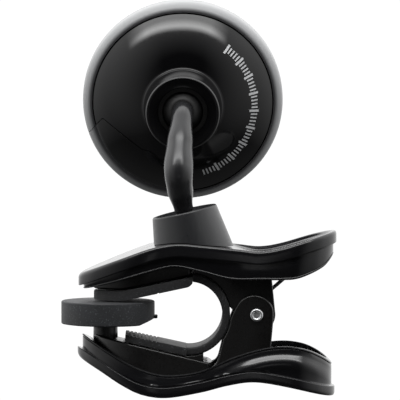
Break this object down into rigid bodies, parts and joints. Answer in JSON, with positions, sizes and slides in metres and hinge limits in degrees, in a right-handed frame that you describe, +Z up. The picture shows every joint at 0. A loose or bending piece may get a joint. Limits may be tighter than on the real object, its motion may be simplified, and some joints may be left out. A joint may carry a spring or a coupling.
{
  "type": "clip-on tuner",
  "caption": "Clip-on instrument tuner: a round black head with a display, on a ball-jointed stem, held by a sprung clip with a swivelling rubber pad.",
  "frame": {"origin": "centre of the round swivel pad's gripping face, with the clip closed", "axes": "+X from the jaws' noses to the handles, +Y the way the display faces, +Z up from the lower jaw to the head"},
  "size_m": [0.0614, 0.042, 0.0879],
  "materials": {
    "gloss_black": "gloss black moulding",
    "satin_black": "satin black moulding",
    "dark_frame": "satin dark moulding",
    "rubber": "matte black rubber",
    "steel": "bright plated steel",
    "spring_steel": "blackened spring wire",
    "brass": "bare sheet",
    "clear_window": "clear moulding",
    "glass": "grey-green display glass",
    "white_plastic": "white moulding",
    "board": "green solder mask"
  },
  "bodies": {
    "lower_jaw": {"lower_jaw_shell": "gloss_black", "lower_jaw_frame": "dark_frame", "lower_pad": "rubber", "pad_post": "dark_frame", "pivot_rivet": "steel", "torsion_spring": "spring_steel", "throat_band": "rubber"},
    "swivel_pad": {"swivel_pad": "rubber", "swivel_pad_base": "dark_frame"},
    "upper_jaw": {"upper_jaw_shell": "gloss_black", "upper_jaw_frame": "dark_frame", "upper_pad": "rubber", "clip_socket": "satin_black"},
    "clip_cup": {"clip_ball_cup": "dark_frame"},
    "stem": {"stem_arm": "satin_black"},
    "head_cup": {"head_ball_cup": "dark_frame"},
    "head": {"rear_housing": "gloss_black", "front_bezel": "gloss_black", "display_lens": "clear_window", "lcd_panel": "glass", "light_guide": "white_plastic", "zebra_strip": "rubber", "circuit_board": "board", "piezo_sensor": "brass", "tuner_chip": "dark_frame", "backlight_led": "white_plastic", "coin_cell": "steel", "battery_contact_positive": "brass", "battery_contact_negative": "brass", "tact_switch": "steel", "board_screw_1": "steel", "board_screw_2": "steel", "board_screw_3": "steel"},
    "power_button": {"power_button": "satin_black"},
    "battery_door": {"battery_door": "gloss_black"}
  },
  "joints": [
    {"name": "pad_tilt", "type": "hinge", "parent": "lower_jaw", "child": "swivel_pad", "pos_m": [0, 0, -0.0036], "axis": [0, 1, 0], "range_deg": [-6, 6]},
    {"name": "clip_hinge", "type": "hinge", "parent": "lower_jaw", "child": "upper_jaw", "pos_m": [0.0332, 0, -0.00265], "axis": [0, 1, 0], "range_deg": [0, 28], "stiffness_Nm_per_rad": 0.35, "springref_deg": -20.05, "deforming": ["torsion_spring", "throat_band"]},
    {"name": "socket_swivel", "type": "hinge", "parent": "upper_jaw", "child": "clip_cup", "pos_m": [0.01795, 0, 0.0162], "axis": [-0.2233, 0, 0.9748], "continuous": true},
    {"name": "stem_tilt", "type": "hinge", "parent": "clip_cup", "child": "stem", "pos_m": [0.01795, 0, 0.0162], "axis": [1, 0, 0], "range_deg": [-10, 18]},
    {"name": "head_tilt", "type": "hinge", "parent": "stem", "child": "head_cup", "pos_m": [0.0167, 0.011, 0.0421], "axis": [1, 0, 0], "range_deg": [-12, 20]},
    {"name": "head_spin", "type": "hinge", "parent": "head_cup", "child": "head", "pos_m": [0.0167, 0.011, 0.0421], "axis": [0, 0.9907, 0.1357], "continuous": true},
    {"name": "power_press", "type": "slide", "parent": "head", "child": "power_button", "axis": [0, -0.9907, -0.1357], "range_m": [0, 0.0004], "stiffness_N_per_m": 800, "springref_m": -0.0002},
    {"name": "door_slide", "type": "slide", "parent": "head", "child": "battery_door", "axis": [-0.632, 0.1052, -0.7678], "range_m": [0, 0.009]}
  ]
}
